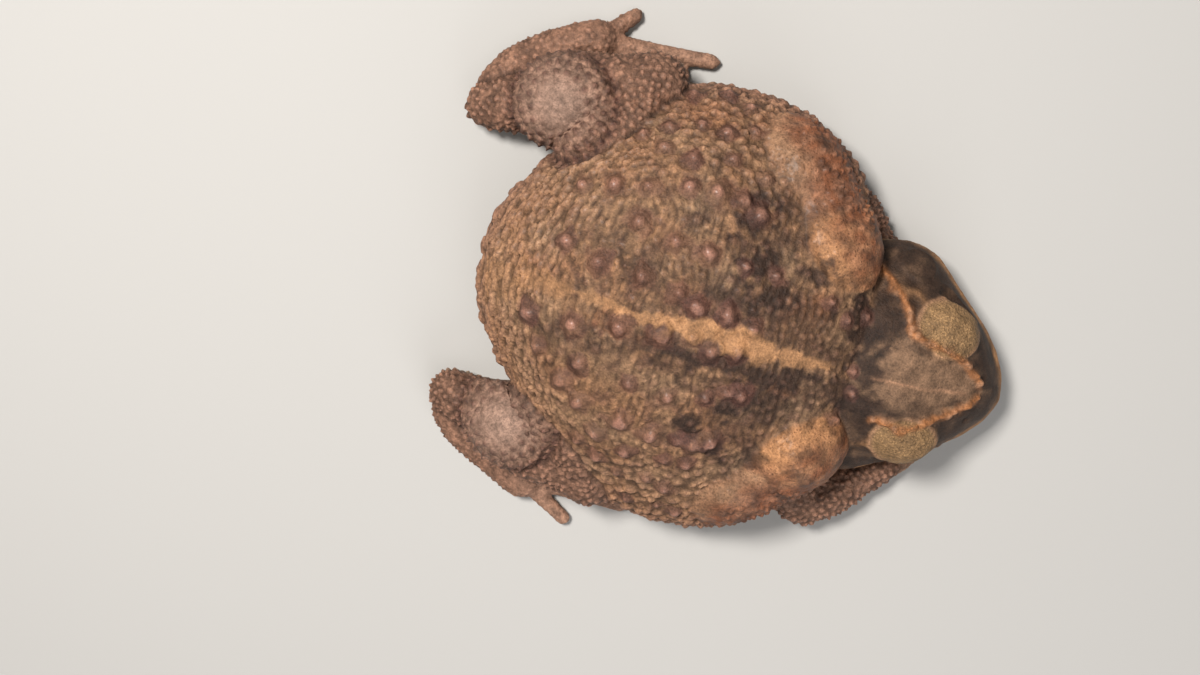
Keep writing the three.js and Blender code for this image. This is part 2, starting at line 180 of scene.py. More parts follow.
def copy_of(node):
    """A merged copy of a solid, whose faces remember the region that they come from."""
    piece = bpy.data.objects.new("copy_" + node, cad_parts[node].data.copy())
    bpy.context.scene.collection.objects.link(piece)
    piece.data.materials.clear()
    only(piece)
    bpy.ops.object.mode_set(mode="EDIT")
    bpy.ops.mesh.select_all(action="SELECT")
    bpy.ops.mesh.remove_doubles(threshold=1e-6)
    bpy.ops.object.mode_set(mode="OBJECT")
    if node == "torso":
        applied(piece, "REMESH", mode="VOXEL", voxel_size=TORSO_VOXEL)
        applied(piece, "SMOOTH", factor=0.5, iterations=TORSO_ROUNDS)
    mark = piece.data.attributes.new("region", "INT", "FACE")
    mark.data.foreach_set("value", [region_of(node)] * len(piece.data.polygons))
    return piece


copies = [copy_of(node) for node in FLESH]
only(*copies)
bpy.ops.object.join()
skin = bpy.context.object
skin.name = "skin"
print(len(FLESH), "solids joined,", len(skin.data.polygons), "faces")

# %% One net over all of them
applied(skin, "DISPLACE", strength=FATTEN, mid_level=0)
source_points = [v.co.copy() for v in skin.data.vertices]
source_faces = [tuple(p.vertices) for p in skin.data.polygons]
source_region = np.zeros(len(source_faces), np.int32)
skin.data.attributes["region"].data.foreach_get("value", source_region)
source_tree = bvhtree.BVHTree.FromPolygons(source_points, source_faces)
applied(skin, "REMESH", mode="VOXEL", voxel_size=SKIN_VOXEL)
print("the skin's net has", len(skin.data.vertices), "points")


# %% [markdown]
# From here the net is shaped as arrays of numbers: each point has a place, a normal and its neighbours.
# One sum over an array moves a quarter of a million points at once, where a loop would take minutes.
# Sculpting brushes need a hand on a tablet, so functions of the place do the sculptor's work instead.
# A point's region is that of the nearest solid, and a few rounds of averaging make soft borders.

# %% The net as arrays
def places(mesh):
    flat = np.empty(len(mesh.vertices) * 3, np.float32)
    mesh.vertices.foreach_get("co", flat)
    return flat.reshape(-1, 3).astype(float) / MM


def edges_of(mesh):
    flat = np.empty(len(mesh.edges) * 2, np.int32)
    mesh.edges.foreach_get("vertices", flat)
    return flat.reshape(-1, 2)


def place_back(mesh, points):
    mesh.vertices.foreach_set("co", (points * MM).astype(np.float32).ravel())
    mesh.update()


def normals_of(mesh):
    flat = np.empty(len(mesh.vertices) * 3, np.float32)
    mesh.vertex_normals.foreach_get("vector", flat)
    return flat.reshape(-1, 3).astype(float)


links = edges_of(skin.data)
count = len(skin.data.vertices)
degree = np.maximum(np.bincount(links.ravel(), minlength=count), 1)


def neighbours_mean(values):
    """The mean of each point's neighbours, for one number a point or for several."""
    if values.ndim == 2:
        return np.stack([neighbours_mean(column) for column in values.T], axis=1)
    first, second = links[:, 0], links[:, 1]
    total = np.bincount(first, values[second], count) + np.bincount(second, values[first], count)
    return total / degree


def spread_out(values, rounds):
    for _ in range(rounds):
        values = 0.4 * values + 0.6 * neighbours_mean(values)
    return values


nearest_region = np.array([source_region[source_tree.find_nearest(v.co)[2]] for v in skin.data.vertices])
BORDER_ROUNDS = 8  # more rounds make the borders of the regions softer
share_of = {
    name: spread_out((nearest_region == i).astype(float), BORDER_ROUNDS) for i, name in enumerate(REGIONS)
}
print({name: int((share > 0.5).sum()) for name, share in share_of.items()})

# %% Relax the facets
RELAX_ROUNDS = 64
FILLET_ROUNDS = 34  # the glands rise softly from the back
RELAX = {"torso": 1.0, "gland": 1.0, "leg": 1.0, "arm": 0.8, "head": 0.5, "foot": 0.22, "hand": 0.2}
strength = 0.5 * sum(RELAX[name] * share for name, share in share_of.items())
points = places(skin.data)
for _ in range(RELAX_ROUNDS):
    points += strength[:, None] * (neighbours_mean(points) - points)
gland_border = spread_out(share_of["gland"], 40)
gland_border = 4 * gland_border * (1 - gland_border) * (1 - share_of["head"])
for _ in range(FILLET_ROUNDS):
    points += 0.5 * gland_border[:, None] * (neighbours_mean(points) - points)
place_back(skin.data, points)
normals = normals_of(skin.data)
print("relaxed in", RELAX_ROUNDS, "rounds, the glands' borders in", FILLET_ROUNDS, "more")

# %% [markdown]
# Relief and colour are both set by landmarks, so here are the few that they share.
# The body's outline is close to an ellipse, so one number tells how far out a point lies.
# The head is turned on the neck, and its own landmarks are simpler to give as if it looked straight ahead.

# %% Landmarks
BODY_MIDDLE = np.array([-37.0, -5.0])
BODY_HALF = np.array([90.0, 108.0])
HEAD_ROOT = np.array([45.0, -3.5])
HEAD_YAW = math.radians(-5)

x, y, z = points.T
side = np.sign(y)
facing_up = normals[:, 2]
body, head, gland, leg, foot, arm, hand = (
    share_of[name] for name in ("torso", "head", "gland", "leg", "foot", "arm", "hand")
)
outwards = (points[:, :2] - BODY_MIDDLE) / BODY_HALF
out_share = np.hypot(*outwards.T)  # 0 at the middle of the back and 1 at the outline
slope = outwards / BODY_HALF
slope /= np.maximum(np.hypot(*slope.T), 1e-9)[:, None]
round_body = np.stack([-slope[:, 1], slope[:, 0], np.zeros(count)], axis=1)  # the way round the outline
past_shoulder = np.maximum(smoothstep(12, -18, x), smoothstep(60, 80, np.abs(y)))
flank = smoothstep(0.55, 0.86, out_share) * past_shoulder
rear = smoothstep(-30, -85, x)
under = smoothstep(0.1, -0.5, facing_up)

offset = points[:, :2] - HEAD_ROOT
cosine, sine = math.cos(-HEAD_YAW), math.sin(-HEAD_YAW)
hx = HEAD_ROOT[0] + offset[:, 0] * cosine - offset[:, 1] * sine
hy = offset[:, 0] * sine + offset[:, 1] * cosine
ahy = np.abs(hy)
upper = np.flatnonzero((facing_up > 0.1) & (z > 8))


def on_top(place_x, place_y):
    """The number of the uppermost point over a place on the floor."""
    gap = (x[upper] - place_x) ** 2 + (y[upper] - place_y) ** 2
    close = upper[gap < max(1.5, gap.min() + 0.5)]
    return close[np.argmax(z[close])]


def own_side(left, right):
    """For each point, the one of two places that lies on its own side of the body."""
    return np.where((y > 0)[:, None], left, right)


def waves(size, seed, number=26):
    """A soft random field over the skin, about -1 to 1, whose lumps are about size mm across."""
    random = np.random.default_rng(seed)
    way = random.normal(size=(number, 3))
    way /= np.linalg.norm(way, axis=1)[:, None]
    pace = math.pi / size * random.uniform(0.7, 1.3, number)
    start = random.uniform(0, 2 * math.pi, number)
    return np.cos(points @ (way * pace[:, None]).T + start).sum(axis=1) * math.sqrt(2 / number) * 0.7


def from_line(px, py, line):
    """Distance from a bent line seen from above, and the share of the way along it."""
    line = np.array(line, float)
    best = np.full(len(px), 1e9)
    along = np.zeros(len(px))
    steps = len(line) - 1
    for i, (a, b) in enumerate(zip(line[:-1], line[1:])):
        way = b - a
        t = np.clip(((px - a[0]) * way[0] + (py - a[1]) * way[1]) / (way @ way), 0, 1)
        gap = np.hypot(px - a[0] - t * way[0], py - a[1] - t * way[1])
        closer = gap < best
        best = np.where(closer, gap, best)
        along = np.where(closer, (i + t) / steps, along)
    return best, along


def hump(gap, width):
    """1 on a line or at a point and 0 beyond about twice the width."""
    return np.exp(-((gap / width) ** 2))


print("points facing up:", len(upper))

# %% [markdown]
# The pale stripe down the back is smoother than the skin beside it, so it is found before the warts.
# It is broad and faint at the rear, a thread over the hips, a clear band over the back, and a point
# behind the head. It could be drawn by hand on an image; a bent line with a width at each stop keeps
# its place on the animal, and two soft random fields make its edge ragged.

# %% The stripe
STRIPE = [(-122, -8), (-100, -2), (-86, 0), (-57, -2), (-20, -1.5), (5, -4), (38, -6.5)]
STRIPE_HALF = [9.0, 7.0, 2.6, 1.8, 5.2, 4.8, 0.8]
STRIPE_CLEAR = [0.55, 0.6, 0.7, 0.85, 1.0, 1.0, 1.0]
stripe_gap, stripe_along = from_line(x, y, STRIPE)
stops = np.linspace(0, 1, len(STRIPE))
stripe_half = np.interp(stripe_along, stops, STRIPE_HALF) * (1 + 0.34 * waves(7, 11) + 0.26 * waves(3, 12))
stripe = smoothstep(1.2, 0.85, stripe_gap / np.maximum(stripe_half, 0.3))
stripe *= np.interp(stripe_along, stops, STRIPE_CLEAR) * (1 - head) * smoothstep(0.2, 0.6, facing_up)
print("stripe covers", int((stripe > 0.5).sum()), "points")

# %% [markdown]
# The great warts stand in loose rows. Each has a rounded tip, a shallow moat and a dark disc of skin.
# Most stand where the solid has them, because both use the same rows and the same run of scattered
# numbers. The six on the nape are the skin's own.
# Copies of a modelled wart would leave a seam, so each wart is a raised patch of the skin itself.

# %% Great warts
WART_ROWS = [  # three places of a smooth curve, how many warts, and their radius
    ([(-4, 7), (-42, 11), (-92, 19)], 7, 5.0),
    ([(2, 30), (-28, 33), (-62, 38)], 5, 4.4),
    ([(-13, 54), (-44, 58), (-94, 46)], 7, 5.0),
    ([(-12, 71), (-36, 72), (-60, 72)], 4, 4.2),
    ([(-22, 87), (-45, 83), (-70, 76)], 5, 3.9),
    ([(-26, 96), (-38, 97), (-52, 96)], 3, 3.8),
    ([(-8, -9), (-40, -9), (-100, -15)], 7, 5.2),
    ([(2, -28), (-28, -38), (-92, -32)], 7, 4.4),
    ([(-4, -56), (-34, -59), (-80, -46)], 7, 5.0),
    ([(-13, -68), (-34, -71), (-60, -66)], 4, 4.6),
    ([(-20, -84), (-45, -84), (-66, -74)], 5, 3.8),
    ([(-8, -97), (-22, -98), (-36, -98)], 3, 3.6),
]
WART_JITTER = 2.5
NAPE_WARTS = [  # x, y and radius
    (40, 16, 3.4), (48.5, 19, 3.6), (50, -7, 2.7), (50.5, -18, 3.1), (47.5, -31, 3.4), (30, 23, 3.0),
]
MOUND_RISE = 0.30  # for a radius of 1
NIPPLE_RISE = 0.27
MOAT = 0.10


def scatter(i):
    """A number from 0 to 1 that looks random and is the same each time for the same i."""
    return (math.sin(i * 12.9898) * 43758.5453) % 1.0


def along_row(line, share):
    """A place on the smooth curve through three places."""
    p = [np.array(place, float) for place in line]
    whole = min(int(share * 2), 1)
    t = share * 2 - whole
    a, b = p[whole], p[whole + 1]
    before, after = p[max(whole - 1, 0)], p[min(whole + 2, 2)]
    start, end = (b - before) / 2, (after - a) / 2
    return (2 * a - 2 * b + start + end) * t**3 + (3 * b - 3 * a - 2 * start - end) * t**2 + start * t + a


great_warts = []
for line, number, radius in WART_ROWS:
    for i in range(number):
        seed = 3 * len(great_warts) + 1
        place = along_row(line, i / (number - 1))
        place = place + WART_JITTER * (2 * np.array([scatter(seed), scatter(seed + 1)]) - 1)
        great_warts.append((*place, radius * (0.8 + 0.4 * scatter(seed + 2))))
great_warts += NAPE_WARTS
print(len(great_warts), "great warts")

# %% Raise them
net = kdtree.KDTree(count)
for i, place in enumerate(points):
    net.insert(place, i)
net.balance()
relief = np.zeros(count)
tip = np.zeros(count)
dusk = np.zeros(count)  # the dark disc round each tip
calm = np.zeros(count)  # 1 where small warts make room
uneven = waves(3.5, 15)
for wart_x, wart_y, radius in great_warts:
    middle = on_top(wart_x, wart_y)
    found = net.find_range(points[middle], 2.3 * radius)
    near = np.array([i for _, i, _ in found])
    gap = np.array([d for _, _, d in found]) / radius * (1 + 0.2 * uneven[near])
    mound = np.clip(1 - (gap / 1.12) ** 2, 0, 1) ** 1.2
    nipple = np.clip(1 - (gap / 0.62) ** 2, 0, 1)
    relief[near] += radius * (MOUND_RISE * mound + NIPPLE_RISE * nipple - MOAT * hump(gap - 1.22, 0.26))
    # the tip mask carries a pale pink that is partly the wart's colour and partly a painted highlight
    tip[near] = np.maximum(tip[near], np.clip(1 - (gap / 0.58) ** 2, 0, 1) * (0.3 + 0.7 * scatter(wart_x)))
    dusk[near] = np.maximum(dusk[near], smoothstep(1.55, 1.0, gap) * (0.6 + 0.4 * scatter(wart_y)))
    calm[near] = np.maximum(calm[near], smoothstep(1.5, 1.05, gap))
print("highest wart", round(relief.max(), 2), "mm")

# %% [markdown]
# Between the great warts the skin is covered in small ones: low and round on the back, sharp little
# cones on the flanks and limbs, and long folds round the rump, where the loose skin gathers.
# They are sown at random with a set least distance, in ever new places until no room is left.
# Each point of the net then knows its nearest seed, and so how high on that seed's cone it lies.

# %% Sow small warts
CALVES = ((-111, 76), (-101, -78))  # the middle of the left one and of the right one, from above
calf_x, calf_y = own_side(*CALVES).T
calf_gap = np.hypot(x - calf_x, y - calf_y)
calf_top = smoothstep(21, 9, calf_gap) * leg * smoothstep(0.3, 0.7, facing_up)
spacing = 4.0 * body + 2.9 * head + 3.4 * gland + 3.1 * leg + 2.5 * foot + 3.2 * arm + 2.3 * hand
spacing += 0.2 * body * flank * (1 - under)
spacing *= 1 + 0.22 * waves(9, 21)


def sown(gap_at):
    """Seeds that keep their distance from each other, and each point's nearest one."""
    nearest = [1.0] * count
    owner, covered = list(range(count)), bytearray(count)
    seeds = []
    for i in RANDOM.permutation(count):
        if covered[i]:
            continue
        seeds.append(i)
        reach = gap_at[i]
        for _, j, gap in net.find_range(points[i], reach):
            covered[j] = 1
            gap /= reach
            if gap < nearest[j]:
                nearest[j], owner[j] = gap, i
    return seeds, np.array(owner)


seeds, owner = sown(spacing)
print(len(seeds), "small warts")

# %% Raise the small warts
stretch = 1 + 1.7 * body * flank * rear * (1 - under) + 0.5 * body * flank
from_seed = points - points[owner]
lengthwise = (from_seed * round_body).sum(axis=1)
crosswise = np.sqrt(np.maximum((from_seed**2).sum(axis=1) - lengthwise**2 * (1 - stretch**-2), 0))
cone_gap = crosswise / (0.52 * spacing[owner])
cone = np.clip(1 - cone_gap**2, 0, 1)
point_of = np.clip(1 - cone_gap, 0, 1)
luck = np.random.default_rng(5).random(count)[owner]
rise = (
    body * (0.55 + 1.15 * flank) * (1 - 0.6 * under)
    + leg * 1.15 * smoothstep(16, 26, calf_gap)
    + arm * 1.15
    + foot * (0.2 + 0.5 * smoothstep(-80, -105, x))
    + hand * 0.3
    + head * 0.1
    + gland * 0.2
)
rise *= (0.3 + 1.2 * luck) * (1 - 0.85 * stripe) * (1 - calm)
relief += rise * (0.75 * cone + 0.4 * point_of)
# painted highlight on the points of the small warts
small_tip_highlight = point_of * np.clip(rise, 0, 1)
# painted shade: the low ground between the small warts is darkened in the finish
groove = (1 - smoothstep(0.0, 0.5, cone)) * np.clip(rise, 0, 1)
print("small warts rise up to", round(float((rise * 1.15).max()), 2), "mm")

# %% [markdown]
# The head is bone under thin skin. A knobbly crest runs from the snout round each eyelid to the gland.
# The lids are domes with a thin rim, the lip has a pale edge over the slit of the mouth, and the
# eardrum is a ring. The solid has all of these in place; here they get back the sharpness that
# relaxing took away. A sculptor would roll knobs of clay; here a seeded row of them follows each crest.

# %% Head
CREST_LEFT = [
    (51, 40), (58, 35), (63, 30), (69, 21), (69.5, 16),
    (76, 14.5), (85, 13), (94, 10.5), (99, 8), (110, -1),
]
CREST_RIGHT = [
    (64, -27), (72.5, -27.5), (77, -30), (85.5, -25.5), (93.5, -20.5), (98, -18), (105, -13), (111, -8),
]
CREST_WIDTH = 1.5
CREST_RISE = 0.8
KNOB_STEP = 3.1  # from one knob on the crest to the next
KNOB_RISE = 0.62  # for a radius of 1
CHEEK_RIDGE = [(47, 42), (56, 38), (66, 38.5), (70, 36)]  # behind the lid, over the eardrum
CROWN_LEFT = [(48, 4), (58, 9), (68, 14.5), (76, 14), (85, 12.5), (94, 10), (99, 7.5), (112, -4)]
CROWN_RIGHT = [(48, -20), (60, -24), (70, -25), (77, -28), (85.5, -24), (93.5, -19), (98, -17), (112, -6)]
LID = (85, 28.5, 15.8, 12.3)  # middle and half sizes, seen from above
LID_LEAN = math.radians(10)
EYE_SLIT = (86.5, 46, 9.5, 5.5)  # middle and half sizes, seen from the side
MOUTH = [(30, 17), (52, 19), (74, 23.5), (100, 24.5), (140, 23)]
LIP_RIM = 3.6  # the height of the lip's rim over the mouth's line
LIP_EDGE = 5.0  # and of the middle of its pale band


def knobs_along(line, seed):
    """A row of places with sizes beside a bent line, each a little off it."""
    random = np.random.default_rng(seed)
    line = np.array(line, float)
    lengths = np.hypot(*np.diff(line, axis=0).T)
    reached = np.concatenate([[0], np.cumsum(lengths)])
    knobs = []
    for place in np.arange(1, reached[-1], KNOB_STEP):
        place += random.uniform(-0.8, 0.8)
        knob_x = np.interp(place, reached, line[:, 0]) + random.uniform(-0.8, 0.8)
        knob_y = np.interp(place, reached, line[:, 1]) + random.uniform(-0.8, 0.8)
        knobs.append((knob_x, knob_y, random.uniform(1.2, 2.5)))
    return knobs


crest = np.zeros(count)
knob_tip = np.zeros(count)
head_top = head * smoothstep(0.05, 0.4, facing_up) * smoothstep(38, 42, z)
for line, seed in ((CREST_LEFT, 31), (CREST_RIGHT, 32)):
    crest_gap, _ = from_line(x, y, line)
    crest_gap = crest_gap * (1 + 0.3 * waves(3, seed))
    crest = np.maximum(crest, hump(crest_gap, CREST_WIDTH) * head_top)
    for knob_x, knob_y, radius in knobs_along(line, seed):
        gap = np.hypot(x - knob_x, y - knob_y) / radius
        knob = np.clip(1 - gap**2, 0, 1) * head_top
        relief += KNOB_RISE * radius * knob
        knob_tip = np.maximum(knob_tip, knob)
cheek_gap, _ = from_line(hx, ahy, CHEEK_RIDGE)
cheek_ridge = hump(cheek_gap, 2.0) * smoothstep(0.0, 0.4, facing_up) * head
relief += CREST_RISE * crest + 0.9 * cheek_ridge
crown_left = np.interp(x, *np.array(CROWN_LEFT, float).T)
crown_right = np.interp(x, *np.array(CROWN_RIGHT, float).T)
crown = smoothstep(-1.0, 1.5, np.minimum(crown_left - y, y - crown_right)) * head_top
crown_dent = hump(crown_left - y - 3.5, 2.2) + hump(y - crown_right - 3.5, 2.2)
relief -= 0.5 * crown_dent * crown

lid_x, lid_y = hx - LID[0], ahy - LID[1]
lid_u = (lid_x * math.cos(LID_LEAN) + lid_y * math.sin(-LID_LEAN)) / LID[2]
lid_v = (lid_x * math.sin(LID_LEAN) + lid_y * math.cos(LID_LEAN)) / LID[3]
lid_gap = np.hypot(lid_u, lid_v)
lid = smoothstep(1.14, 0.86, lid_gap + 0.05 * waves(4, 34)) * head * smoothstep(43, 51, z)
lid_rim = hump(lid_gap - 1.0, 0.06) * head * smoothstep(42, 47, z)
relief += 0.5 * lid_rim - 0.35 * hump(lid_gap - 1.16, 0.07) * head * smoothstep(42, 47, z)

slit_gap = np.hypot((hx - EYE_SLIT[0]) / EYE_SLIT[2], (z - EYE_SLIT[1]) / EYE_SLIT[3])
outer_face = smoothstep(30, 36, ahy) * head
slit_rim = hump(slit_gap - 1.18, 0.14) * outer_face
relief += 0.7 * slit_rim

mouth_z = np.interp(hx, [place[0] for place in MOUTH], [place[1] for place in MOUTH])
face = head * smoothstep(0.97, 0.7, np.abs(facing_up)) * smoothstep(38, 46, hx)
mouth = hump(z - mouth_z, 0.75) * face
lip = hump(z - mouth_z - LIP_RIM, 1.7) * face
relief += 0.7 * lip - 0.9 * mouth
lip_edge = hump(z - mouth_z - LIP_EDGE, 2.4) * face * smoothstep(-0.3, 0.1, facing_up)

drum_middles = [
    np.mean([list(c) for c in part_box("eardrum_" + s)], axis=0) / MM for s in ("left", "right")
]
drum_gap = np.linalg.norm(points - own_side(*drum_middles), axis=1)
DRUM_RADIUS = 8.0
drum = smoothstep(DRUM_RADIUS, DRUM_RADIUS - 1, drum_gap) * head
drum_ring = hump(drum_gap - DRUM_RADIUS, 1.0) * head
relief += 0.55 * drum_ring - 0.3 * drum
print({name: int((mask > 0.5).sum()) for name, mask in (("crest", crest), ("lid", lid), ("mouth", mouth))})

# %% Nostrils, and the crease down the middle of the head
NOSTRIL_FROM = (94, 2, 36)
NOSTRIL_WAY = (0.8, 0.42, 0.5)
nostril = np.zeros(count)
straight = np.stack([hx, hy, z], axis=1)
for s in (1, -1):
    start = np.array([NOSTRIL_FROM[0], NOSTRIL_FROM[1] * s, NOSTRIL_FROM[2]], float)
    way = np.array([NOSTRIL_WAY[0], NOSTRIL_WAY[1] * s, NOSTRIL_WAY[2]])
    way /= np.linalg.norm(way)
    rel = straight - start
    ahead_of = rel @ way
    beside = np.linalg.norm(rel - ahead_of[:, None] * way, axis=1)
    nostril = np.maximum(nostril, hump(beside, 1.3) * (ahead_of > 0) * head)
relief -= 1.1 * nostril
CREASE = [(58, -7), (70, -8), (84, -7.5), (98, -6.5), (104, -6)]
crease_gap, _ = from_line(x, y + 0.6 * waves(6, 33), CREASE)
crease = hump(crease_gap, 0.8) * head * smoothstep(0.3, 0.7, facing_up)
relief -= 0.15 * crease
print("nostrils", int((nostril > 0.5).sum()), "points")

# %% [markdown]
# The parotoid glands are full and soft, with fine arcs round their inner side and pebbles outside.
# A fold parts them from the body, deepest on the outer side, and another parts each calf from the flank.
# A fold lies where two regions meet, which is where the soft border of a region is at a half.

# %% Glands and folds
GLAND_LINE = {1: ((24, 43), (3, 70)), -1: ((33, -50), (13, -74))}  # front and back of each, from above
ARC_PITCH = 2.9
ARC_RISE = 0.17
BULGE_RISE = 2.4
gland_along = np.zeros(count)
gland_across = np.zeros(count)
for s, (front, back) in GLAND_LINE.items():
    axis = np.array(back, float) - front
    length = np.linalg.norm(axis)
    axis /= length
    outer = np.array([-axis[1], axis[0]]) * -s
    rel = points[:, :2] - front
    here = side == s
    gland_along[here] = (rel @ axis)[here] / length
    gland_across[here] = (rel @ outer)[here]
gland_out = smoothstep(-4, 14, gland_across + 2.5 * waves(9, 41))
gland_skirt = spread_out(gland, 60)  # the arcs run on over the back beside the gland
arc_place = gland_across + 9 * (gland_along - 0.5) ** 2 + 1.3 * waves(9, 42)
arcs = np.cos(2 * math.pi * arc_place / ARC_PITCH)
arc_share = np.maximum(gland, 1.6 * gland_skirt * body)
relief += ARC_RISE * arcs * arc_share * (1 - gland_out) * (0.6 + 0.4 * waves(7, 43))
pebbles = gland * np.maximum(gland_out, 0.35) * smoothstep(-0.3, 0.3, gland_along)
relief += 1.0 * pebbles * (0.7 * cone + 0.3 * point_of) * (0.3 + 1.2 * luck)
relief += gland * (0.8 + 0.5 * waves(8, 44))
bulge_x, bulge_y = own_side(GLAND_LINE[1][0], GLAND_LINE[-1][0]).T
bulge_gap = np.hypot(x - bulge_x, y - bulge_y)
bulge = hump(bulge_gap, 12) * gland * smoothstep(0.0, 0.4, facing_up)
relief += BULGE_RISE * bulge
gland_fold = 4 * gland * (1 - gland) * (0.35 + 0.65 * gland_out)
leg_fold = 4 * leg * (1 - leg) * smoothstep(-0.9, -0.3, facing_up)
relief -= 0.6 * gland_fold + 1.0 * leg_fold
print("folds", int((gland_fold > 0.5).sum()), int((leg_fold > 0.5).sum()))

# %% [markdown]
# The hind legs are folded up, so each calf shows from above as a dome with rings of warts round its top.
# Sown warts would lie there at random. Counting the rings outwards, and the warts round each ring,
# sets them in rows that still shift from ring to ring.

# %% Calves
CALF_RADIUS = 24.5
CALF_RISE = 4.6
CALF_MOAT = 2.4
RING_GAP = 4.2  # from one ring of warts to the next
RING_PITCH = 4.9  # from one wart to the next round a ring
RING_RISE = 2.1
calf_share = leg * smoothstep(-0.1, 0.35, facing_up)
calf_dome = np.clip(1 - (calf_gap / CALF_RADIUS) ** 2, 0, 1) ** 0.8 * calf_share
calf_moat = hump(calf_gap - CALF_RADIUS - 1.5, 2.8) * calf_share
relief += CALF_RISE * calf_dome - CALF_MOAT * calf_moat
calf_turn = np.arctan2(y - calf_y, x - calf_x)
ring_place = (calf_gap + 0.9 * waves(8, 55)) / RING_GAP
ring_number = np.round(ring_place)
warts_in_ring = np.round(2 * math.pi * ring_number * RING_GAP / RING_PITCH)
in_ring = np.cos(math.pi * (ring_place - ring_number))
round_ring = 0.5 + 0.5 * np.cos(warts_in_ring * calf_turn + 2.4 * ring_number)
ring_wart = in_ring * round_ring
ring_wart *= calf_share * smoothstep(4, 13, calf_gap) * smoothstep(29, 24, calf_gap)
ring_wart = np.maximum(ring_wart, 0) ** 1.4
relief += RING_RISE * ring_wart
print("calf domes", int((calf_dome > 0.3).sum()), "points, their warts", int((ring_wart > 0.5).sum()))

# %% [markdown]
# The hide is loose: it swells and sags in broad waves, and fine ripples cross the back.
# A cloth simulation could make such folds, but not at chosen places, so soft random fields make them.
# At the end every point is held to the solids' box, so the dressed animal is no larger than they are.

# %% Loose skin
relief += body * (0.5 * waves(26, 51) + 0.35 * waves(9, 52)) * (1 - under)
relief += (leg + arm) * 0.2 * waves(9, 53)
crossing = np.cos(2 * math.pi * (x + 2.2 * waves(12, 54)) / 3.4) * body * (1 - flank) * (1 - calm)
relief += 0.28 * crossing * (1 - 0.6 * stripe) * (0.5 + 0.5 * waves(16, 56))
toe_lines = np.cos(2 * math.pi * (x + 0.5 * y) / 2.6) * (foot + hand)
relief += 0.06 * toe_lines
BOX_LOW, BOX_HIGH = (np.array(corner) / MM for corner in cad_box)


def held_to_box(values):
    """The points, none of them outside the solids' box."""
    held = np.clip(values, BOX_LOW, BOX_HIGH)
    moved = np.abs(held - values).max(axis=1)
    print(int((moved > 0.001).sum()), "points held to the box, by up to", round(moved.max(), 2), "mm")
    return held


place_back(skin.data, held_to_box(points + normals * relief[:, None]))
print("relief from", round(relief.min(), 2), "to", round(relief.max(), 2), "mm")

# %% [markdown]
# The broad colours are painted on the net's points, from named colours and the same masks that shaped
# the relief.
# An image would stretch over such a body and a plain noise would ignore its anatomy.
# The nodes of the material add everything finer than the net.

# %% Broad colours
EARTH = np.array([0.270, 0.138, 0.068])
DUST = np.array([0.285, 0.170, 0.095])
PINK_BROWN = np.array([0.255, 0.132, 0.083])
TAN = np.array([0.335, 0.170, 0.078])
CHARCOAL = np.array([0.022, 0.012, 0.008])
RUST = np.array([0.190, 0.062, 0.024])
GLAND_TAN = np.array([0.410, 0.198, 0.088])
GLAND_BROWN = np.array([0.205, 0.088, 0.048])
CALF_GREY = np.array([0.250, 0.162, 0.122])
TOE_PALE = np.array([0.340, 0.190, 0.125])
OLIVE = np.array([0.270, 0.158, 0.072])
HEAD_BROWN = np.array([0.200, 0.115, 0.067])
CREST_ORANGE = np.array([0.300, 0.118, 0.042])
LIP_TAN = np.array([0.36, 0.185, 0.085])
WART_PURPLE = np.array([0.085, 0.036, 0.027])
KNOB_PALE = np.array([0.420, 0.220, 0.125])
BELLY = np.array([0.36, 0.27, 0.18])
DARK_MARKS = [  # x, y, half length, half width, turn in degrees, strength
    (-14, 50, 13, 8, 70, 0.75), (-6, 33, 13, 9, 70, 0.7), (4, 19, 12, 6, 20, 0.85),
    (-38, 48, 10, 6, 60, 0.35), (-14, 15, 16, 5, 5, 0.6), (-16, -14, 20, 5, 0, 0.8),
    (8, -17, 15, 6, -10, 0.85), (26, -12, 12, 4, -5, 0.7), (43, 20, 9, 8, 30, 0.9),
    (51, 8, 8, 8, 0, 0.9), (54, -6, 7, 8, 0, 0.75), (55, -22, 9, 7, 0, 0.9),
    (44, -18, 9, 8, 0, 0.6), (-17, -49, 8, 7, 0, 0.75), (-4, -57, 7, 6, 0, 0.8),
    (1, -30, 12, 7, 40, 0.7), (14, -30, 12, 8, 60, 0.6), (-45, -14, 12, 5, 0, 0.5),
    (-34, -20, 10, 5, 0, 0.45), (-66, -20, 12, 6, 0, 0.4), (-57, 18, 9, 7, 0, 0.4),
    (-72, 25, 12, 6, 20, 0.35), (-90, -22, 10, 8, 0, 0.4), (15, -57, 9, 6, -50, 0.5),
    (-2, 60, 8, 10, 40, 0.45), (20, 34, 8, 7, 0, 0.6), (-30, 22, 10, 5, 0, 0.35),
    (10, -2, 44, 34, 0, 0.42), (-40, 6, 34, 24, 0, 0.25), (-6, 42, 18, 22, 0, 0.4),
    (0, -40, 16, 20, 0, 0.35),
]
WARM_MARKS = [
    (-60, -8, 14, 6, 0, 0.8), (-96, 10, 12, 8, 0, 0.35), (17, 15, 7, 5, 20, 0.6),
    (25, 21, 6, 5, 0, 0.7), (22, -21, 8, 5, 0, 0.6), (-28, 10, 12, 6, 0, 0.35),
    (-45, 88, 22, 8, 0, 0.55), (36, 56, 8, 12, 40, 0.6), (-10, -40, 14, 8, 0, 0.3),
    (51, 34, 5, 4, 0, 0.6),
]
DARKEN = 1.45  # the dark marks overlap, and this brings their middles to full strength


